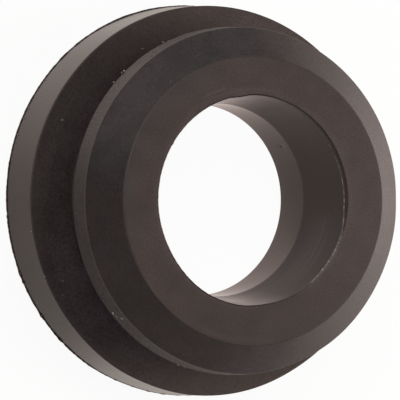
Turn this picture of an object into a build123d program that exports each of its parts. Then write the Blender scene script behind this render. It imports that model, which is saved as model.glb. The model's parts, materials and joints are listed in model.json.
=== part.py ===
"""Push-in valve seal: one moulded rubber ring with a flange, a panel groove, a snap lip and a stepped bore.

The ring lies on the flange's flat back, with the nose up. Z runs along the bore from the flange to the nose,
and the origin is the centre of the flange's back face. All lengths are millimetres and angles are degrees.
"""

import math
import os

from build123d import *

# Flange: the broad foot that stays outside the panel, and the thin web of rubber that trimming leaves
# round its back edge, where the mould parts
flange_diameter = 33.0
flange_thickness = 4.85
trim_reach = 0.2
trim_thickness = 0.12

# Groove: the neck that the panel's edge closes round, and how far the snap lip stands out from it
neck_diameter = 24.8
groove_width = 4.55
groove_depth = 2.3
root_radius = 0.4

# Snap lip: a short land with draft, then the taper that leads the nose through the panel
lip_diameter = neck_diameter + 2 * groove_depth
lip_land = 2.05
lip_draft = 0.19
taper_height = 2.25
taper_angle = 47.2

# Bore: a flared mouth in the nose, a straight throat that grips the valve, and a lead-in behind
throat_diameter = 16.3
throat_length = 4.4
mouth_flare = 0.64
lead_in_depth = 2.05
lead_in_angle = 42.0

# Edges: the one that leads the lip through the panel is rounded, and the others are crisp, just broken
lip_edge_radius = 0.2
edge_break = 0.06

# Radii and heights that follow from the sizes above
flange_radius = flange_diameter / 2
trim_radius = flange_radius + trim_reach
neck_radius = neck_diameter / 2
lip_radius = lip_diameter / 2
land_radius = lip_radius - lip_draft
face_radius = land_radius - taper_height * math.tan(math.radians(taper_angle))
throat_radius = throat_diameter / 2
mouth_opening = throat_radius + mouth_flare
lead_in_radius = throat_radius + lead_in_depth * math.tan(math.radians(lead_in_angle))

lip_base = flange_thickness + groove_width
land_top = lip_base + lip_land
overall_height = land_top + taper_height
throat_top = lead_in_depth + throat_length

# Corners of the half section, as (radius, height)
lead_in_rim = (lead_in_radius, 0)
trim_back_edge = (trim_radius, 0)
trim_front_edge = (trim_radius, trim_thickness)
trim_root = (flange_radius, trim_thickness)
flange_front_edge = (flange_radius, flange_thickness)
groove_root_below = (neck_radius, flange_thickness)
groove_root_above = (neck_radius, lip_base)
lip_back_edge = (lip_radius, lip_base)
lip_front_edge = (land_radius, land_top)
face_edge = (face_radius, overall_height)
mouth_edge = (mouth_opening, overall_height)
throat_front = (throat_radius, throat_top)
throat_back = (throat_radius, lead_in_depth)

os.makedirs("parts", exist_ok=True)

# The seal: its half section, rounded where the mould is rounded, turned about the bore's axis.
# The trimmed edge and the throat's two ends stay sharp.
with BuildPart() as valve_seal:
    with BuildSketch(Plane.XZ) as section:
        with BuildLine():
            Polyline(
                lead_in_rim,
                trim_back_edge,
                trim_front_edge,
                trim_root,
                flange_front_edge,
                groove_root_below,
                groove_root_above,
                lip_back_edge,
                lip_front_edge,
                face_edge,
                mouth_edge,
                throat_front,
                throat_back,
                close=True,
            )
        make_face()

        groove_roots = (groove_root_below, groove_root_above)
        crisp_edges = (flange_front_edge, lip_back_edge, face_edge, mouth_edge)
        corners = section.vertices()
        fillet([corners.sort_by_distance(root)[0] for root in groove_roots], radius=root_radius)
        corners = section.vertices()
        fillet(corners.sort_by_distance(lip_front_edge)[0], radius=lip_edge_radius)
        corners = section.vertices()
        chamfer([corners.sort_by_distance(edge)[0] for edge in crisp_edges], length=edge_break)
    revolve(axis=Axis.Z)

valve_seal.part.label = "valve_seal"
export_step(valve_seal.part, "parts/valve_seal.step")
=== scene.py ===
"""Looks of the push-in valve seal: moulded rubber with flash and crumbs, on a white table in soft light."""

import json
import math

import bmesh
import bpy
import numpy as np
from mathutils import Matrix, Vector


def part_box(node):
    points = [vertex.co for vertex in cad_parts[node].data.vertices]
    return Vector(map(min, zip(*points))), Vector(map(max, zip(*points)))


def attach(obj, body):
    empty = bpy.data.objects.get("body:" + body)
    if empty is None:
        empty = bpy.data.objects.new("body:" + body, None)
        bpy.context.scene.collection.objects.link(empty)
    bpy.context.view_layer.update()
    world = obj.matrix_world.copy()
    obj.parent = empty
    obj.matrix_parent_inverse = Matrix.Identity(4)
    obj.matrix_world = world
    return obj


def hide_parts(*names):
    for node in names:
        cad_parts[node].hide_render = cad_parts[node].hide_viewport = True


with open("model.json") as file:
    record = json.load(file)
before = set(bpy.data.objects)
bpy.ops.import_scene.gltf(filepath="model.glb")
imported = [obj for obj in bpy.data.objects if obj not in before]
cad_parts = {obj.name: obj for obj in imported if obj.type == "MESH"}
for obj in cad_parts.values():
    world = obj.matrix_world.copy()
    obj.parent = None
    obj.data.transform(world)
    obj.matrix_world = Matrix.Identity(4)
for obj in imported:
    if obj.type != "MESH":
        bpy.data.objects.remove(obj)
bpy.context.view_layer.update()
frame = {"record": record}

MM = 0.001
MOUNTS = {mount["name"]: mount for mount in frame["record"]["mounts"]}

# Sizes that the frame gives
RING_LOW, RING_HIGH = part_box("valve_seal")
TRIM_RADIUS = RING_HIGH[0]
WEB_LIMIT = min(-RING_LOW[0], -RING_LOW[1], RING_HIGH[0], RING_HIGH[1])
HEIGHT = RING_HIGH[2]
THROAT_RADIUS = MOUNTS["valve_bore"]["dims"]["r_mm"] * MM
THROAT_LENGTH = MOUNTS["valve_bore"]["dims"]["length_mm"] * MM
THROAT_MIDDLE = MOUNTS["valve_bore"]["pos_m"][2]
NECK_RADIUS = MOUNTS["panel_groove"]["dims"]["r_mm"] * MM
GROOVE_WIDTH = MOUNTS["panel_groove"]["dims"]["length_mm"] * MM
GROOVE_MIDDLE = MOUNTS["panel_groove"]["pos_m"][2]

# Sizes of the section that the frame doesn't name
TRIM_REACH = 0.2 * MM
TRIM_THICKNESS = 0.12 * MM
RIM_DRAFT = 0.05 * MM
GROOVE_DEPTH = 2.3 * MM
LIP_LAND = 2.05 * MM
LIP_DRAFT = 0.19 * MM
TAPER_ANGLE = math.radians(47.2)
MOUTH_FLARE = 0.64 * MM
LEAD_IN_ANGLE = math.radians(42.0)

# Rounding of the section's corners
LIP_FRONT_RADIUS = 0.2 * MM
LIP_BACK_RADIUS = 0.13 * MM
ROOT_RADIUS = 0.4 * MM
EDGE_RADIUS = 0.08 * MM
CRISP_RADIUS = 0.06 * MM

# Radii and heights that follow from the sizes above
FLANGE_RADIUS = TRIM_RADIUS - TRIM_REACH
FLANGE_TOP = GROOVE_MIDDLE - GROOVE_WIDTH / 2
LIP_BASE = GROOVE_MIDDLE + GROOVE_WIDTH / 2
LIP_RADIUS = NECK_RADIUS + GROOVE_DEPTH
LAND_TOP = LIP_BASE + LIP_LAND
LAND_RADIUS = LIP_RADIUS - LIP_DRAFT
FACE_RADIUS = LAND_RADIUS - (HEIGHT - LAND_TOP) * math.tan(TAPER_ANGLE)
MOUTH_OPENING = THROAT_RADIUS + MOUTH_FLARE
THROAT_TOP = THROAT_MIDDLE + THROAT_LENGTH / 2
THROAT_BOTTOM = THROAT_MIDDLE - THROAT_LENGTH / 2
LEAD_IN_RADIUS = THROAT_RADIUS + THROAT_BOTTOM * math.tan(LEAD_IN_ANGLE)

# How the moulding departs from a true ring
OFF_CENTRE = 0.06 * MM
OUT_OF_ROUND = 0.012 * MM
FLANGE_GROWTH = 0.03 * MM
FACE_SHRINKAGE = 0.03 * MM
THROAT_SHIFT = 0.02 * MM
LIP_RIPPLE = 0.02 * MM
MOUTH_RIPPLE = 0.01 * MM

# Places where an edge of the section stands out or back. A hump has a middle, a width and a size, and a
# stretch has a start, an end, a softness and a size, in degrees and millimetres
FLANGE_HUMPS = ((120, 14, 0.04), (250, 8, -0.04), (300, 12, -0.05))
FLANGE_STRETCHES = ((188, 228, 20, -0.065),)
FOOT_STRETCHES = ((124, 172, 16, 0.06),)
LIP_HUMPS = ((92, 22, -0.055), (255, 16, -0.035))
LAND_HUMPS = ((95, 28, 0.07), (118, 10, 0.03), (273, 16, 0.07), (308, 12, 0.04), (0, 6, -0.05))
FACE_HUMPS = ((275, 35, 0.11), (5, 30, -0.03), (170, 14, -0.04))
FACE_STRETCHES = ((150, 205, 30, -0.07),)
MOUTH_HUMPS = (
    (40, 45, -0.09),
    (98, 4.5, -0.09),
    (205, 15, -0.03),
    (238, 14, 0.05),
    (265, 30, 0.10),
    (274, 9, -0.055),
    (284, 10, -0.04),
)
MOUTH_NICKS = ((147.5, 0.8, -0.045),)

# Where two edges are rounded more than elsewhere: a start, an end and a softness in degrees
LIP_FRONT_ROUNDED = (134, 212, 24)
FACE_ROUNDED = (160, 205, 36)
FACE_ROUNDING = 0.3 * MM

# The trimmed web round the flange's back edge, in shares of its greatest reach
TRIM_SHARE = 0.46
TRIM_UNEVEN_SHARE = 0.05
LEAST_TRIM_SHARE = 0.1

# Stretches where the web is cut closer: a start, an end and a softness in degrees, the share that is cut off
# and how uneven it is, and the seed, the fewest and the most waves per turn of that unevenness
TRIM_CUTS = (
    (168, 262, 16, 0.15, 0.09, 5, 20, 240),
    (240, 282, 12, 0.28, 0.12, 6, 30, 200),
    (116, 170, 14, 0.15, 0.06, 7, 40, 240),
)

# Nibs that the knife left on the web, with their places and width in degrees
NIB_ANGLES = (201.8, 216.0, 225.2, 247.0, 258.0)
NIB_WIDTH = 0.8
NIB_SHARE = 0.25

# Moulding flash in the bore's mouth: a start, an end and a softness in degrees for each stretch, and for the
# stretch where it sits on the mouth's edge instead of running a little way inside
FLASH_STRONG = (-56, -16, 16)
FLASH_FAINT = (-16, 24, 8)
FLASH_TRACE = (24, 62, 10)
FLASH_ON_EDGE = (-100, -12, 14)

# The flash's depth below the nose and its reach from the wall, with the change where it sits on the edge, its
# thickness, and how wide it looks pale
FLASH_DEPTH = 0.5 * MM
FLASH_CLIMB = 0.39 * MM
FLASH_WAVER = 0.012 * MM
FLASH_REACH = 0.08 * MM
FLASH_REACH_GAIN = 0.04 * MM
FLASH_LIFT = 0.06 * MM
FLASH_TIP = 0.04 * MM
FLASH_ABOVE = 0.02 * MM
FLASH_BELOW = 0.08 * MM
MOUTH_SHARPENING = 0.04 * MM
PALE_CLIMB = 0.38 * MM
PALE_WIDTH = 0.05 * MM
PALE_WIDTH_GAIN = 0.07 * MM

# A small pit in the throat's wall
PIT_ANGLE = 34.0
PIT_WIDTH = 0.9
PIT_SHARE = 0.307
PIT_WIDTH_SHARE = 0.022
PIT_DEPTH = 0.06 * MM

# Fineness of the skin: segments round the ring, points on a rounded corner, the angle from which an edge
# stays sharp, and rows between two corners of the section, as shares of the way
SEGMENTS = 780
ARC_POINTS = 5
SHARP_ANGLE = math.radians(35)
SPAN_SHARES = (0.03, 0.2, 0.5, 0.8, 0.97)
SPANS = {
    "back": (0.1, 0.9),
    "trim_edge": (),
    "trim": (0.5,),
    "neck": (0.1, 0.9),
    "lip_back": (0.1, 0.9),
    "face": (0.03, 0.1, 0.25, 0.5, 0.75, 0.9, 0.97),
    "cone": (0.8,),
    "flash": (),
    "flash_tip": (),
    "throat": (0.03, 0.15, 0.26, 0.28, 0.295, 0.307, 0.32, 0.335, 0.36, 0.6, 0.97),
}

# Finish of each band: its roughness, how much pale grit shows in it, and a lightness for its rubber that
# paints in
# light and shade: it lifts the groove under the lip (neck and lip back) out of its shade, lightens the land
# and throat, and darkens the bore's cone and wall
FINISH_AND_PAINTED_LIGHT = {
    "back": (0.45, 0.3, 1.0),
    "trim_edge": (0.5, 0.6, 1.0),
    "trim": (0.5, 0.6, 1.0),
    "rim": (0.26, 0.5, 1.0),
    "flange": (0.45, 0.3, 1.0),
    "neck": (0.45, 0.3, 1.6),
    "lip_back": (0.45, 0.3, 1.6),
    "land": (0.67, 2.0, 1.1),
    "taper": (0.27, 0.1, 1.0),
    "face": (0.45, 0.1, 1.0),
    "cone": (0.22, 0.1, 0.9),
    "flash": (0.25, 0.1, 1.0),
    "flash_tip": (0.3, 0.3, 1.0),
    "wall": (0.22, 0.1, 0.9),
    "throat": (0.08, 0.1, 1.2),
    "lead_in": (0.3, 0.1, 1.0),
}

# Bands that share the marks of another one, and how pale the torn rubber of the flash looks in each band
SAME_LOOK = {"flash": "cone", "flash_tip": "cone", "wall": "cone", "trim_edge": "trim"}
TORN_SHARES = {"cone": 0.5, "flash": 1.0, "flash_tip": 1.0, "wall": 1.0}

# Changes of the marks that the material reads, along a band: the mark, the band, a start, an end and a
# softness in degrees, and the strength. The tone entries paint light and shade, lightening or darkening
# stretches of a band, such as the taper's key-lit right side and the throat's lower side, where light falls
# more or less.
# The cool entries paint a cooler tint that stands in for the cool fill light, mostly on the side away from
# the warm key
ALL_ROUND = (-360, 360, 1)
MARK_STRETCHES = (
    ("finish", "rim", 115, 245, 20, -0.08),
    ("finish", "land", 122, 168, 20, -0.25),
    ("finish", "cone", -78, 78, 24, 0.2),
    ("finish", "throat", -78, 78, 24, 0.08),
    ("grit", "land", 158, 206, 12, -1.2),
    ("tone", "flange", 212, 296, 30, 0.22),
    ("tone", "flange", 112, 195, 24, -0.12),
    ("tone", "taper", 112, 158, 24, 0.3),
    ("tone", "taper", -30, 44, 12, 0.25),
    ("tone", "face", 235, 318, 40, -0.2),
    ("tone", "face", 45, 85, 20, -0.1),
    ("tone", "face", 112, 192, 16, -0.1),
    ("tone", "throat", 278, 335, 16, 0.9),
    ("cool", "flange", 122, 262, 20, 0.5),
    ("cool", "land", *ALL_ROUND, 0.8),
    ("cool", "taper", 82, 172, 16, 1.0),
    ("cool", "taper", 264, 292, 10, 0.6),
    ("cool", "face", 112, 192, 16, 1.0),
    ("cool", "cone", -68, -12, 16, 1.0),
    ("web", "trim", 176, 222, 12, 1.0),
)

# The same about one place: the mark, the band, a middle and a width in degrees, and the strength. The tone
# spots paint light and shade, such as a painted highlight on the taper's key-lit right side
MARK_SPOTS = (
    ("finish", "throat", 80, 14, -0.04),
    ("tone", "flange", 60, 14, 0.15),
    ("tone", "land", 105, 8, -0.2),
    ("tone", "land", 257, 8, -0.3),
    ("tone", "taper", 180, 14, -0.2),
    ("tone", "taper", 10, 24, 0.75),
    ("tone", "taper", 270, 10, 0.5),
    ("tone", "taper", 105, 10, 0.12),
    ("tone", "cone", 330, 18, 0.3),
    ("tone", "cone", 46, 24, -0.4),
    ("tone", "cone", 90, 12, -0.3),
    ("tone", "throat", 78, 10, 0.9),
)

# The same inside one radius only: the mark, the band, the radius and its softness in millimetres, a start, an
# end and a softness in degrees, and the strength. The flange's tone entries paint light into the shadow that
# the lip casts on the flange. The face's tone entries at the mouth paint a highlight round the mouth's edge
# and a shade beside the flash. The last two take the face's painted shade and painted cool tint off its
# middle
INNER_STRETCHES = (
    ("tone", "flange", 15.4, 1.0, 192, 258, 24, 1.2),
    ("tone", "flange", 15.4, 1.0, 138, 192, 24, 0.1),
    ("tone", "flange", 14.3, 1.0, 192, 258, 24, 1.2),
    ("tone", "flange", 14.3, 1.0, 138, 192, 24, 0.6),
    ("tone", "face", 9.25, 0.2, *ALL_ROUND, 0.3),
    ("tone", "face", 9.25, 0.2, 140, 215, 14, 0.12),
    ("tone", "face", 9.25, 0.2, -82, -60, 14, -0.5),
    ("tone", "face", 11.2, 0.6, 112, 192, 16, 0.1),
    ("cool", "face", 11.2, 0.6, 112, 192, 16, -1.0),
)

# Crumbs of rubber left by the trimming, as radius, angle, height and size, in millimetres and degrees
CRUMBS = (
    (14.70, 132.6, 9.44, 0.10),
    (14.72, 133.6, 9.42, 0.07),
    (14.70, 137.8, 9.46, 0.09),
    (14.68, 115.6, 9.44, 0.07),
    (14.62, 143.0, 9.90, 0.05),
    (14.66, 149.5, 9.70, 0.05),
    (14.60, 155.0, 10.3, 0.05),
    (14.69, 219.8, 9.98, 0.12),
    (14.62, 222.4, 10.7, 0.10),
    (14.66, 250.1, 9.44, 0.11),
    (14.62, 250.9, 9.90, 0.09),
    (14.66, 252.3, 9.42, 0.09),
    (15.18, 153.6, 4.87, 0.06),
    (15.65, 203.9, 4.87, 0.05),
    (15.18, 206.4, 4.87, 0.07),
    (15.75, 210.3, 4.87, 0.05),
    (14.20, 115.7, 4.87, 0.06),
    (14.00, 105.5, 4.87, 0.05),
    (14.77, 128.3, 4.87, 0.04),
    (8.73, -10.0, 12.65, 0.05),
    (16.52, 189.2, 4.55, 0.08),
    (16.52, 192.3, 2.60, 0.05),
    (16.50, 202.8, 4.80, 0.07),
    (16.52, 204.2, 4.70, 0.05),
    (16.63, 142.0, 0.36, 0.06),
    (16.64, 152.0, 0.36, 0.07),
    (16.64, 155.3, 0.38, 0.06),
    (16.63, 160.4, 0.36, 0.08),
    (16.62, 162.1, 0.40, 0.07),
    (16.61, 168.0, 0.38, 0.06),
    (16.57, 201.8, 0.16, 0.06),
    (16.58, 216.0, 0.16, 0.05),
    (16.58, 225.2, 0.16, 0.05),
)

# How pale a crumb is for each millimetre of its size, its finish, and how lumpy and how long it is
CRUMB_PALENESS = 10.0
CRUMB_FINISH = 0.4
LUMP_PITCHES = (2.5, 4.0, 6.0)
LUMP_SHARE = 0.22
STRETCH_SHARES = (0.6, 1.2)

# Faint pale streaks, partly moulding marks and partly painted highlights, the broad one inside the bore most
# of all. Each has what places it, its middle and width in millimetres, their heading and spread, and strength
STREAKS_AND_PAINTED_HIGHLIGHTS = (
    ("radius", 9.70, 0.09, 112, 9, 0.05),
    ("radius", 9.30, 0.16, 102, 36, 0.02),
    ("radius", 11.65, 0.05, 258, 18, 0.03),
    ("radius", 11.85, 0.04, 263, 20, 0.04),
    ("radius", 14.95, 0.06, 168, 14, 0.02),
    ("radius", 15.25, 0.05, 158, 20, 0.03),
    ("radius", 15.65, 0.05, 150, 22, 0.02),
    ("radius", 15.30, 0.05, 226, 7, 0.02),
    ("height", 9.90, 1.80, -33, 30, 0.07),
    ("height", 11.2, 0.12, -36, 20, 0.08),
    ("height", 10.3, 0.10, -30, 24, 0.09),
    ("height", 9.30, 0.14, -42, 20, 0.05),
    ("height", 8.60, 0.12, -50, 22, 0.06),
    ("height", 8.10, 0.15, -80, 10, 0.06),
    ("height", 10.9, 0.20, -80, 10, 0.05),
    ("height", 9.50, 0.20, 72, 14, 0.06),
    ("height", 6.30, 0.12, 100, 24, 0.10),
    ("height", 6.30, 0.12, 264, 28, 0.12),
    ("height", 13.45, 0.10, 104, 14, 0.15),
    ("height", 13.45, 0.10, 264, 20, 0.15),
)

# Colours of the rubber: where it is darkest and lightest, the cooler tint painted where the cool fill light
# rather than the warm key falls, the brown of the trimmed web, the pale of grit and torn edges, and the tint
# of its shine
RUBBER_DARK = (0.0245, 0.0174, 0.0187, 1)
RUBBER_LIGHT = (0.0342, 0.0245, 0.0263, 1)
PAINTED_COOL_LIGHT_TINT = (0.87, 1.02, 1.09, 1)
WEB_BROWN = (0.14, 0.08, 0.035, 1)
TORN_PALE = (0.37, 0.34, 0.335, 1)
SHINE_TINT = (1.0, 0.89, 0.80, 1)
RUBBER_IOR = 1.5

# Grain of the rubber, in repeats per millimetre, and turning marks, by heading and across the ring
CLOUD_SCALE = 0.45
GRAIN_SCALE = 6.0
MOTTLE_SCALE = 6.5
GRIT_SCALE = 1.1
TURNING_ALONG = 4.0
TURNING_ACROSS = 5.0

# How much each kind of grain shows in the rubber's colour, its roughness and its relief
CLOUD_SHARE = 0.9
TURNING_SHARE = 0.1
BODY_LOW, BODY_HIGH = 0.3, 0.7
MOTTLE_LEAST = 1.4
MOTTLE_WITH_GRIT = 2.2
GRIT_SIZE = 0.16
GRIT_PALENESS = 0.4
TORN_PALENESS = 0.85
WEB_STRENGTH = 0.6
CLOUD_ROUGHNESS = 0.1
TURNING_ROUGHNESS = 0.02
TURNING_RELIEF = 0.08
RELIEF_DEPTH = 0.0015 * MM

# Streaks placed by height show inside the bore only, which fades in between these radii in millimetres
BORE_OUTSIDE, BORE_INSIDE = 9.4, 9.0

# The table: its half width, how far it lies under the ring, its colour, how white it looks, and how white it
# looks through the bore, between two distances from the bore's axis
TABLE_HALF_WIDTH = 2.0
TABLE_DROP = 0.02 * MM
TABLE_COLOUR = (0.9, 0.9, 0.9, 1)
TABLE_WHITENESS = 0.93
BORE_WHITENESS_GAIN = 0.03
BORE_VIEW_EDGE, BORE_VIEW_INSIDE = 12 * MM, 10 * MM

# The table as the rubber mirrors it, a painted reflection: how white it is, how much less towards the right,
# and the warm tints painted into that reflection beside the ring and inside its bore, each between two
# distances
MIRRORED_SHARE = 0.75
MIRRORED_LOSS = 0.45
LOSS_START, LOSS_END = 10 * MM, 40 * MM
WARM_BESIDE = (1.0, 0.89, 0.82, 1)
WARM_IN_BORE = (1.0, 0.82, 0.76, 1)
WARM_EDGE, WARM_INSIDE = 11 * MM, 7 * MM

# Soft shade on the table beside the ring and inside its bore, as the rubber mirrors it: the middle, the outer
# and inner radius in millimetres, and the depth
TABLE_SHADES = (
    (-19, -7, 20, 6, 0.53),
    (1, -1.5, 8, 2, 0.40),
    (6, 2.5, 5, 1, 0.24),
)

# Strength of the dim surround, and how much stronger it is at both sides
SURROUND_STRENGTH = 0.115
SIDE_STRENGTH = 0.28

# Soft lights: azimuth and elevation in degrees, distance and diameter in metres, power in watts, and colour
SOFT_LIGHTS = {
    "key_light": (-7, 31, 0.18, 0.144, 0.264, (1.0, 0.91, 0.84)),
    "top_light": (116, 59, 0.3, 0.306, 0.545, (1.0, 0.93, 0.88)),
    "fill_light": (180, 35, 0.3, 0.5, 0.08, (0.9, 0.96, 1.0)),
}

# The camera: its line of sight leans from the bore's axis towards -X, and +Z points right in the picture
VIEW_LEAN = math.radians(25.3)
VIEW_ROLL = math.radians(-0.174)
VIEW_DISTANCE = 660 * MM
VIEW_WIDTH = 34.13 * MM
VIEW_OFFSET = 1.346 * MM
SENSOR_WIDTH = 36.0
VIEW_END = 10.0

WHITE = (1, 1, 1, 1)


def ripple(angles, seed, lowest, highest):
    """Smooth unevenness round the ring, about -1 to 1, made of waves from lowest to highest per turn."""
    draws = np.random.default_rng(seed)
    counts = np.arange(lowest, highest + 1)
    phases = draws.uniform(0, 2 * math.pi, len(counts))
    sizes = draws.uniform(0.5, 1.0, len(counts))
    waves = sizes[:, None] * np.cos(counts[:, None] * angles + phases[:, None])
    return waves.sum(axis=0) / (math.sqrt(2) * np.linalg.norm(sizes))


def near_angle(angles, middle, width):
    """A smooth hump of 1 about one place on the ring, with the middle and the width in degrees."""
    away = (np.degrees(angles) - middle + 180) % 360 - 180
    return np.exp(-((away / width) ** 2))


def window(angles, start, end, soft):
    """1 between two places on the ring and 0 beyond them, with soft ends, in degrees."""
    middle = (start + end) / 2
    away = np.abs((np.degrees(angles) - middle + 180) % 360 - 180)
    return np.clip(((end - start) / 2 - away) / soft + 0.5, 0, 1)


def humps(angles, places):
    """The sum of several humps, as lengths."""
    return sum(size * MM * near_angle(angles, middle, width) for middle, width, size in places)


def stretches(angles, places):
    """The sum of several stretches, as lengths."""
    return sum(size * MM * window(angles, start, end, soft) for start, end, soft, size in places)


def rounded_corner(before, corner, after, radius):
    """Rows of points on the arc that rounds one corner of the section, for every segment."""
    to_before = before - corner
    to_after = after - corner
    to_before /= np.linalg.norm(to_before, axis=-1, keepdims=True)
    to_after /= np.linalg.norm(to_after, axis=-1, keepdims=True)
    half = np.arccos(np.clip((to_before * to_after).sum(-1, keepdims=True), -1, 1)) / 2
    middle = to_before + to_after
    middle /= np.linalg.norm(middle, axis=-1, keepdims=True)
    radius = np.reshape(radius, (-1, 1))
    centre = corner + middle * radius / np.sin(half)
    start = corner + to_before * radius / np.tan(half) - centre
    end = corner + to_after * radius / np.tan(half) - centre
    sweep = math.pi - 2 * half
    rows = []
    for step in range(ARC_POINTS):
        share = step / (ARC_POINTS - 1)
        along = start * np.sin((1 - share) * sweep) + end * np.sin(share * sweep)
        rows.append(centre + along / np.sin(sweep))
    return rows


def trim_reach(angles):
    """How far the trimmed web stands out round the flange's back edge, ragged as a knife leaves it."""
    ragged = TRIM_SHARE + TRIM_UNEVEN_SHARE * (ripple(angles, 3, 12, 60) + ripple(angles, 4, 60, 300))
    for start, end, soft, cut, uneven, seed, lowest, highest in TRIM_CUTS:
        ragged -= window(angles, start, end, soft) * (cut + uneven * ripple(angles, seed, lowest, highest))
    for place in NIB_ANGLES:
        ragged += NIB_SHARE * near_angle(angles, place, NIB_WIDTH)
    return TRIM_REACH * np.clip(ragged, LEAST_TRIM_SHARE, 1)


def flash_share(angles):
    """How much moulding flash is left inside the bore's mouth, from 0 to 1, broken along its length."""
    uneven = ripple(angles, 11, 30, 110)
    crumbly = np.clip(0.8 + 0.2 * uneven + 0.3 * ripple(angles, 13, 110, 230), 0.3, 1.1)
    strong = window(angles, *FLASH_STRONG) * crumbly
    faint = window(angles, *FLASH_FAINT) * np.clip(0.5 + 0.35 * uneven, 0, 1)
    trace = window(angles, *FLASH_TRACE) * np.clip(0.15 + 0.15 * uneven, 0, 1)
    return strong + faint + trace


def flash_climb(angles):
    """1 where the flash sits on the mouth's edge, and 0 where it runs a little way inside."""
    return window(angles, *FLASH_ON_EDGE)


def ring_section(angles):
    """The ring's half section as rows of (radius, height) by segment, and the band that each row starts."""
    even = np.zeros_like(angles)
    off_centre = OUT_OF_ROUND * ripple(angles, 21, 2, 9) - OFF_CENTRE * np.sin(angles)
    flange = FLANGE_RADIUS + FLANGE_GROWTH + off_centre
    flange += humps(angles, FLANGE_HUMPS) + stretches(angles, FLANGE_STRETCHES)
    foot = flange + RIM_DRAFT + stretches(angles, FOOT_STRETCHES)
    web = np.minimum(foot + trim_reach(angles), WEB_LIMIT)
    lip = LIP_RADIUS + off_centre + humps(angles, LIP_HUMPS)
    lip_edge = LIP_RIPPLE * ripple(angles, 22, 12, 140)
    land = LAND_RADIUS + off_centre + humps(angles, LAND_HUMPS)
    lip_front_rounding = CRISP_RADIUS + (LIP_FRONT_RADIUS - CRISP_RADIUS) * window(angles, *LIP_FRONT_ROUNDED)
    face = FACE_RADIUS - FACE_SHRINKAGE + off_centre
    face += humps(angles, FACE_HUMPS) + stretches(angles, FACE_STRETCHES)
    face_rounding = CRISP_RADIUS + FACE_ROUNDING * window(angles, *FACE_ROUNDED)

    climb = flash_climb(angles)
    mouth = MOUTH_OPENING + humps(angles, MOUTH_HUMPS)
    mouth_ripple = ripple(angles, 23, 10, 120) + climb * ripple(angles, 24, 60, 240)
    mouth_edge = mouth + MOUTH_RIPPLE * mouth_ripple + humps(angles, MOUTH_NICKS)
    mouth_rounding = EDGE_RADIUS - MOUTH_SHARPENING * climb
    depth = FLASH_DEPTH - FLASH_CLIMB * climb + FLASH_WAVER * ripple(angles, 12, 8, 60)
    reach = (FLASH_REACH + FLASH_REACH_GAIN * climb) * flash_share(angles)
    slope = (mouth - THROAT_RADIUS) / (HEIGHT - THROAT_TOP)
    wall = mouth - slope * depth
    lifted = HEIGHT - depth + FLASH_LIFT * climb
    throat_back = THROAT_RADIUS + THROAT_SHIFT * np.sin(angles)

    corners = [
        ("back", LEAD_IN_RADIUS + even, even, CRISP_RADIUS),
        ("trim_edge", web, even, None),
        ("trim", web, TRIM_THICKNESS + even, None),
        ("rim", foot, TRIM_THICKNESS + even, None),
        ("flange", flange, FLANGE_TOP + even, CRISP_RADIUS),
        ("neck", NECK_RADIUS + even, FLANGE_TOP + even, ROOT_RADIUS),
        ("lip_back", NECK_RADIUS + even, LIP_BASE + even, ROOT_RADIUS),
        ("land", lip + lip_edge, LIP_BASE + lip_edge, LIP_BACK_RADIUS),
        ("taper", land, LAND_TOP + even, lip_front_rounding),
        ("face", face, HEIGHT + even, face_rounding),
        ("cone", mouth_edge, HEIGHT + even, mouth_rounding),
        ("flash", wall, HEIGHT - depth + FLASH_ABOVE, None),
        ("flash_tip", wall - reach, lifted, None),
        ("flash_tip", wall - reach, lifted - FLASH_TIP, None),
        ("wall", wall - slope * FLASH_BELOW, HEIGHT - depth - FLASH_BELOW, None),
        ("throat", THROAT_RADIUS + even, THROAT_TOP + even, CRISP_RADIUS),
        ("lead_in", throat_back, THROAT_BOTTOM + even, CRISP_RADIUS),
    ]
    places = [np.stack([radius, height], axis=-1) for _, radius, height, _ in corners]
    arcs = []
    for index, (_, _, _, rounding) in enumerate(corners):
        before = places[index - 1]
        after = places[(index + 1) % len(places)]
        corner = places[index]
        arcs.append([corner] if rounding is None else rounded_corner(before, corner, after, rounding))
    rows = []
    names = []
    for index, arc in enumerate(arcs):
        name = corners[index][0]
        start = arc[-1]
        end = arcs[(index + 1) % len(arcs)][0]
        span = [start + (end - start) * share for share in SPANS.get(name, SPAN_SHARES)]
        if name == "throat":
            for row, share in zip(span, SPANS[name]):
                level = math.exp(-(((share - PIT_SHARE) / PIT_WIDTH_SHARE) ** 2))
                row[:, 0] += PIT_DEPTH * level * near_angle(angles, PIT_ANGLE, PIT_WIDTH)
        rows += arc + span
        names += [name] * (len(arc) + len(span))
    return np.array(rows), names


def lathe_mesh(name, rows, angles):
    """A closed ring from section rows that hold a radius and a height for every segment."""
    row_count, segment_count, _ = rows.shape
    radii, heights = rows[..., 0], rows[..., 1]
    vertices = np.stack([radii * np.cos(angles), radii * np.sin(angles), heights], axis=-1)
    here = np.arange(row_count)[:, None] * segment_count
    after = np.roll(here, -1, axis=0)
    segment = np.arange(segment_count)
    beside = np.roll(segment, -1)
    faces = np.stack([here + segment, here + beside, after + beside, after + segment], axis=-1)
    mesh = bpy.data.meshes.new(name)
    mesh.from_pydata(vertices.reshape(-1, 3).tolist(), [], faces.reshape(-1, 4).tolist())
    mesh.validate()
    return mesh


def store(mesh, name, values):
    """Keeps one number for each vertex, for the material to read."""
    attribute = mesh.attributes.new(name, "FLOAT", "POINT")
    attribute.data.foreach_set("value", np.ascontiguousarray(values, dtype=np.float32).ravel())


def add_piece(name, mesh):
    """Puts a mesh into the scene."""
    piece = bpy.data.objects.new(name, mesh)
    bpy.context.collection.objects.link(piece)
    return piece


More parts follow.
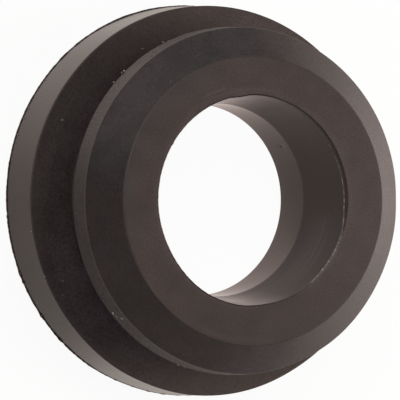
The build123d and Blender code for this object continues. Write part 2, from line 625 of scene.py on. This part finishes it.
def band_marks(angles, rows, names):
    """What the material reads at each vertex: roughness, grit, a tone with painted light and shade, a painted
    cool tint, torn flash and trimmed web.
    """
    radii, heights = rows[..., 0], rows[..., 1]
    finish = np.array([FINISH_AND_PAINTED_LIGHT[name] for name in names])
    marks = {mark: finish[:, [part]] + 0 * radii for part, mark in enumerate(("finish", "grit", "tone"))}
    marks.update(cool=np.zeros_like(radii), web=np.zeros_like(radii))
    looks = np.array([SAME_LOOK.get(name, name) for name in names])
    for mark, band, start, end, soft, strength in MARK_STRETCHES:
        marks[mark][looks == band] += strength * window(angles, start, end, soft)
    for mark, band, middle, width, strength in MARK_SPOTS:
        marks[mark][looks == band] += strength * near_angle(angles, middle, width)
    for mark, band, edge, fade, start, end, soft, strength in INNER_STRETCHES:
        inside = np.clip((edge * MM - radii[looks == band]) / (fade * MM), 0, 1)
        marks[mark][looks == band] += strength * inside * window(angles, start, end, soft)

    climb = flash_climb(angles)
    pale_height = HEIGHT - FLASH_DEPTH + PALE_CLIMB * climb
    pale = np.exp(-(((heights - pale_height) / (PALE_WIDTH + PALE_WIDTH_GAIN * climb)) ** 2))
    shares = np.array([[TORN_SHARES.get(name, 0.0)] for name in names])
    marks["torn"] = shares * pale * flash_share(angles)
    return marks


def valve_seal_skin():
    """The moulded ring itself, with its finish from band to band."""
    angles = np.arange(SEGMENTS) * 2 * math.pi / SEGMENTS
    rows, names = ring_section(angles)
    mesh = lathe_mesh("seal_skin", rows, angles)
    for name, values in band_marks(angles, rows, names).items():
        store(mesh, name, values)
    mesh.shade_smooth()
    mesh.set_sharp_from_angle(angle=SHARP_ANGLE)
    return add_piece("seal_skin", mesh)


def mould_crumbs():
    """Small lumps of torn rubber that cling to the edges and the flange."""
    ball = bmesh.new()
    bmesh.ops.create_icosphere(ball, subdivisions=2, radius=1.0)
    unit = np.array([vertex.co[:] for vertex in ball.verts])
    sides = np.array([[vertex.index for vertex in face.verts] for face in ball.faces])
    ball.free()
    draws = np.random.default_rng(31)
    vertices, faces = [], []
    for index, (radius, angle, height, size) in enumerate(CRUMBS):
        lumpy = np.ones(len(unit))
        for pitch in LUMP_PITCHES:
            heading = draws.normal(size=3)
            along = unit @ (heading / np.linalg.norm(heading))
            lumpy += LUMP_SHARE * np.sin(pitch * along + draws.uniform(0, 6))
        stretch = draws.uniform(*STRETCH_SHARES, 3)
        turn = math.radians(angle)
        centre = np.array([radius * math.cos(turn), radius * math.sin(turn), height])
        vertices.append((centre + unit * lumpy[:, None] * stretch * size) * MM)
        faces.append(sides + index * len(unit))
    mesh = bpy.data.meshes.new("mould_crumbs")
    mesh.from_pydata(np.concatenate(vertices).tolist(), [], np.concatenate(faces).tolist())
    for name, value in (("finish", CRUMB_FINISH), ("grit", 0.0), ("tone", 1.0), ("cool", 0.0), ("web", 0.0)):
        store(mesh, name, np.full(len(mesh.vertices), value))
    store(mesh, "torn", np.repeat([CRUMB_PALENESS * size for _, _, _, size in CRUMBS], len(unit)))
    mesh.shade_smooth()
    return add_piece("mould_crumbs", mesh)


def add_node(tree, kind, inputs, **settings):
    """Adds a shader node, and sets or joins each of the inputs that are given."""
    node = tree.nodes.new("ShaderNode" + kind)
    for name, value in settings.items():
        setattr(node, name, value)
    for socket, value in inputs.items():
        if isinstance(value, bpy.types.NodeSocket):
            tree.links.new(value, node.inputs[socket])
        else:
            node.inputs[socket].default_value = value
    return node


def maths(tree, operation, *values):
    """One step of arithmetic on numbers or sockets."""
    return add_node(tree, "Math", dict(enumerate(values)), operation=operation).outputs[0]


def between(tree, value, low, high):
    """0 at low and 1 at high, with soft ends."""
    return add_node(tree, "MapRange", {"Value": value, "From Min": low, "From Max": high},
                    interpolation_type="SMOOTHSTEP").outputs[0]


def blend(tree, share, first, second):
    """A mix of two colours."""
    return add_node(tree, "Mix", {0: share, 6: first, 7: second}, data_type="RGBA").outputs[2]


def streak_mask(tree, measure, turn, middle, width, heading, spread):
    """A soft line round the ring at one radius or height, over a stretch about one heading in degrees."""
    away = maths(tree, "DIVIDE", maths(tree, "SUBTRACT", measure, middle), width)
    line = maths(tree, "EXPONENT", maths(tree, "MULTIPLY", maths(tree, "MULTIPLY", away, away), -1.0))
    facing = (math.cos(math.radians(heading)), math.sin(math.radians(heading)), 0)
    facing = add_node(tree, "VectorMath", {0: turn, 1: facing}, operation="DOT_PRODUCT").outputs["Value"]
    stretch = between(tree, facing, math.cos(math.radians(spread)), math.cos(math.radians(0.4 * spread)))
    return maths(tree, "MULTIPLY", line, stretch)


def rubber_material():
    """Moulded black rubber: warm and dark, faintly streaked round the ring, with fine grain and pale grit,
    and with light, shade, highlights and a cool tint painted into its colour.
    """
    material = bpy.data.materials.new("moulded_rubber")
    material.use_nodes = True
    tree = material.node_tree
    tree.nodes.clear()
    finish, grit, tone, cool, torn, web = (
        add_node(tree, "Attribute", {}, attribute_name=name).outputs["Fac"]
        for name in ("finish", "grit", "tone", "cool", "torn", "web")
    )

    place = add_node(tree, "TexCoord", {}).outputs["Object"]
    place = add_node(tree, "VectorMath", {0: place, "Scale": 1 / MM}, operation="SCALE").outputs[0]
    axes = add_node(tree, "SeparateXYZ", {0: place})
    height = axes.outputs[2]
    flat = add_node(tree, "CombineXYZ", {0: axes.outputs[0], 1: axes.outputs[1]}).outputs[0]
    radius = add_node(tree, "VectorMath", {0: flat}, operation="LENGTH").outputs["Value"]
    turn = add_node(tree, "VectorMath", {0: flat}, operation="NORMALIZE").outputs[0]
    round_ring = add_node(tree, "VectorMath", {0: turn, "Scale": TURNING_ALONG}, operation="SCALE").outputs[0]
    across = add_node(tree, "CombineXYZ", {2: maths(tree, "MULTIPLY", radius, TURNING_ACROSS)}).outputs[0]
    round_ring = add_node(tree, "VectorMath", {0: round_ring, 1: across}, operation="ADD").outputs[0]

    along_axis = maths(tree, "MULTIPLY", height, TURNING_ACROSS)
    turning = add_node(tree, "TexNoise", {"Vector": round_ring, "W": along_axis, "Scale": 1.0, "Detail": 3.0},
                       noise_dimensions="4D").outputs[0]
    cloud = add_node(tree, "TexNoise", {"Vector": place, "Scale": CLOUD_SCALE, "Detail": 3.0}).outputs[0]
    grain = add_node(tree, "TexNoise", {"Vector": place, "Scale": GRAIN_SCALE, "Detail": 2.0}).outputs[0]
    mottle = add_node(tree, "TexNoise", {"Vector": place, "Scale": MOTTLE_SCALE, "Detail": 2.0}).outputs[0]
    cells = add_node(tree, "TexVoronoi", {"Vector": place, "Scale": GRIT_SCALE})

    chance = add_node(tree, "SeparateColor", {0: cells.outputs["Color"]}).outputs[0]
    size = maths(tree, "MULTIPLY", maths(tree, "MULTIPLY", chance, grit), GRIT_SIZE)
    speck = between(tree, cells.outputs["Distance"], size, 0.0)
    speck = maths(tree, "MULTIPLY", speck, GRIT_PALENESS)
    pale = maths(tree, "MAXIMUM", speck, maths(tree, "MULTIPLY", torn, TORN_PALENESS))
    in_bore = between(tree, radius, BORE_OUTSIDE, BORE_INSIDE)
    # Some of these streaks are painted highlights inside the bore, the broad one most of all
    for measure, middle, width, heading, spread, strength in STREAKS_AND_PAINTED_HIGHLIGHTS:
        if measure == "height":
            mask = streak_mask(tree, height, turn, middle, width, heading, spread)
            mask = maths(tree, "MULTIPLY", mask, in_bore)
        else:
            mask = streak_mask(tree, radius, turn, middle, width, heading, spread)
        pale = maths(tree, "MULTIPLY_ADD", mask, strength, pale)

    clouded = maths(tree, "MULTIPLY", cloud, CLOUD_SHARE)
    body = maths(tree, "ADD", clouded, maths(tree, "MULTIPLY", turning, TURNING_SHARE))
    body = add_node(tree, "MapRange", {"Value": body, "From Min": BODY_LOW, "From Max": BODY_HIGH}).outputs[0]
    colour = blend(tree, body, RUBBER_DARK, RUBBER_LIGHT)
    spread = maths(tree, "MULTIPLY_ADD", grit, MOTTLE_WITH_GRIT, MOTTLE_LEAST)
    mottled = maths(tree, "MULTIPLY_ADD", maths(tree, "SUBTRACT", mottle, 0.5), spread, 1.0)
    # The tone paints light and shade into the colour, times the random mottling
    tone = maths(tree, "MULTIPLY", tone, mottled)
    colour = add_node(tree, "VectorMath", {0: colour, "Scale": tone}, operation="SCALE").outputs[0]
    # A painted cool tint where the cool fill light falls
    painted_cool_light_colour = blend(tree, cool, WHITE, PAINTED_COOL_LIGHT_TINT)
    colour = add_node(tree, "VectorMath", {0: colour, 1: painted_cool_light_colour}, operation="MULTIPLY").outputs[0]
    colour = blend(tree, maths(tree, "MULTIPLY", web, WEB_STRENGTH), colour, WEB_BROWN)
    colour = blend(tree, pale, colour, TORN_PALE)

    uneven = maths(tree, "MULTIPLY_ADD", maths(tree, "SUBTRACT", cloud, 0.5), CLOUD_ROUGHNESS, finish)
    turned = maths(tree, "SUBTRACT", turning, 0.5)
    uneven = maths(tree, "MULTIPLY_ADD", turned, TURNING_ROUGHNESS, uneven)
    relief = maths(tree, "MULTIPLY_ADD", turning, TURNING_RELIEF, grain)
    bump = add_node(tree, "Bump", {"Height": relief, "Strength": 1.0, "Distance": RELIEF_DEPTH}).outputs[0]

    shader = add_node(tree, "BsdfPrincipled", {
        "Base Color": colour,
        "Roughness": uneven,
        "IOR": RUBBER_IOR,
        "Specular Tint": SHINE_TINT,
        "Normal": bump,
    })
    add_node(tree, "OutputMaterial", {"Surface": shader.outputs[0]})
    return material


def table_material():
    """White table top: a lit white that keeps the shadow, lifted towards white where it is looked at, and in
    what the rubber mirrors a white with painted shade and warm tints.
    """
    material = bpy.data.materials.new("white_table")
    material.use_nodes = True
    tree = material.node_tree
    tree.nodes.clear()
    path = add_node(tree, "LightPath", {})
    mirrored = maths(tree, "ADD", path.outputs["Is Glossy Ray"], path.outputs["Is Transmission Ray"])
    place = add_node(tree, "TexCoord", {}).outputs["Object"]
    from_axis = add_node(tree, "VectorMath", {0: place}, operation="LENGTH").outputs["Value"]
    in_bore = between(tree, from_axis, BORE_VIEW_EDGE, BORE_VIEW_INSIDE)
    whiteness = maths(tree, "MULTIPLY_ADD", in_bore, BORE_WHITENESS_GAIN, TABLE_WHITENESS)
    looked_at = maths(tree, "MULTIPLY", path.outputs["Is Camera Ray"], whiteness)

    sideways = add_node(tree, "SeparateXYZ", {0: place}).outputs[0]
    to_right = between(tree, sideways, LOSS_START, LOSS_END)
    covered = maths(tree, "MULTIPLY_ADD", to_right, -MIRRORED_LOSS, MIRRORED_SHARE)
    share = maths(tree, "MULTIPLY_ADD", mirrored, covered, looked_at)
    shade = 0.0
    for x, y, outer, inner, depth in TABLE_SHADES:
        middle = (x * MM, y * MM, 0)
        away = add_node(tree, "VectorMath", {0: place, 1: middle}, operation="DISTANCE").outputs["Value"]
        shade = maths(tree, "MULTIPLY_ADD", between(tree, away, outer * MM, inner * MM), depth, shade)
    level = maths(tree, "SUBTRACT", 1.0, maths(tree, "MULTIPLY", shade, mirrored))
    deep_in_bore = between(tree, from_axis, WARM_EDGE, WARM_INSIDE)
    warm = blend(tree, deep_in_bore, WARM_BESIDE, WARM_IN_BORE)
    tint = blend(tree, mirrored, WHITE, warm)

    lit = add_node(tree, "BsdfDiffuse", {"Color": TABLE_COLOUR}).outputs[0]
    white = add_node(tree, "Emission", {"Color": tint, "Strength": level}).outputs[0]
    mix = add_node(tree, "MixShader", {0: share, 1: lit, 2: white}).outputs[0]
    add_node(tree, "OutputMaterial", {"Surface": mix})
    return material


def build_table():
    """The table that the ring lies on."""
    corners = ((-1, -1), (1, -1), (1, 1), (-1, 1))
    places = [(x * TABLE_HALF_WIDTH, y * TABLE_HALF_WIDTH, -TABLE_DROP) for x, y in corners]
    mesh = bpy.data.meshes.new("table")
    mesh.from_pydata(places, [], [(0, 1, 2, 3)])
    mesh.materials.append(table_material())
    add_piece("table", mesh)


def build_world():
    """White behind everything, and a dim surround, lighter at both sides, that lights the ring."""
    world = bpy.data.worlds.new("studio")
    world.use_nodes = True
    tree = world.node_tree
    tree.nodes.clear()
    path = add_node(tree, "LightPath", {})
    towards = add_node(tree, "TexCoord", {}).outputs["Generated"]
    sideways = add_node(tree, "SeparateXYZ", {0: towards}).outputs[1]
    to_sides = maths(tree, "MULTIPLY", sideways, sideways)
    strength = maths(tree, "MULTIPLY_ADD", to_sides, SIDE_STRENGTH, SURROUND_STRENGTH)
    surround = add_node(tree, "Background", {"Color": WHITE, "Strength": strength}).outputs[0]
    white = add_node(tree, "Background", {"Color": WHITE, "Strength": 1.0}).outputs[0]
    mix = add_node(tree, "MixShader", {0: path.outputs["Is Camera Ray"], 1: surround, 2: white}).outputs[0]
    add_node(tree, "OutputWorld", {"Surface": mix})
    bpy.context.scene.world = world


def soft_light(name, azimuth, elevation, distance, diameter, power, colour):
    """A round soft light that faces the ring, placed by its angles in degrees."""
    lamp = bpy.data.lights.new(name, "AREA")
    lamp.shape = "DISK"
    lamp.size = diameter
    lamp.energy = power
    lamp.color = colour
    light = bpy.data.objects.new(name, lamp)
    level = math.cos(math.radians(elevation))
    away = Vector((
        level * math.cos(math.radians(azimuth)),
        level * math.sin(math.radians(azimuth)),
        math.sin(math.radians(elevation)),
    ))
    light.location = away * distance
    light.rotation_euler = away.to_track_quat("Z", "Y").to_euler()
    bpy.context.collection.objects.link(light)


def build_camera():
    """Looks down on the ring at the photograph's angle, with the bore's axis running to the right."""
    lean = math.sin(VIEW_LEAN)
    rise = math.cos(VIEW_LEAN)
    right = Vector((rise, 0, lean))
    up = Vector((0, 1, 0))
    back = Vector((-lean, 0, rise))
    data = bpy.data.cameras.new("camera")
    data.sensor_width = SENSOR_WIDTH
    data.lens = SENSOR_WIDTH * VIEW_DISTANCE / VIEW_WIDTH
    data.clip_end = VIEW_END
    camera = bpy.data.objects.new("camera", data)
    turn = Matrix((right, up, back)).transposed().to_4x4() @ Matrix.Rotation(VIEW_ROLL, 4, "Z")
    camera.matrix_world = Matrix.Translation(right * VIEW_OFFSET + back * VIEW_DISTANCE) @ turn
    bpy.context.collection.objects.link(camera)
    bpy.context.scene.camera = camera


rubber = rubber_material()
skin = valve_seal_skin()
crumbs = mould_crumbs()
for piece in (skin, crumbs):
    piece.data.materials.append(rubber)
    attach(piece, "root")
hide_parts("valve_seal")

build_table()
build_world()
for light_name, placing in SOFT_LIGHTS.items():
    soft_light(light_name, *placing)
build_camera()

bpy.context.scene.view_settings.view_transform = "Standard"
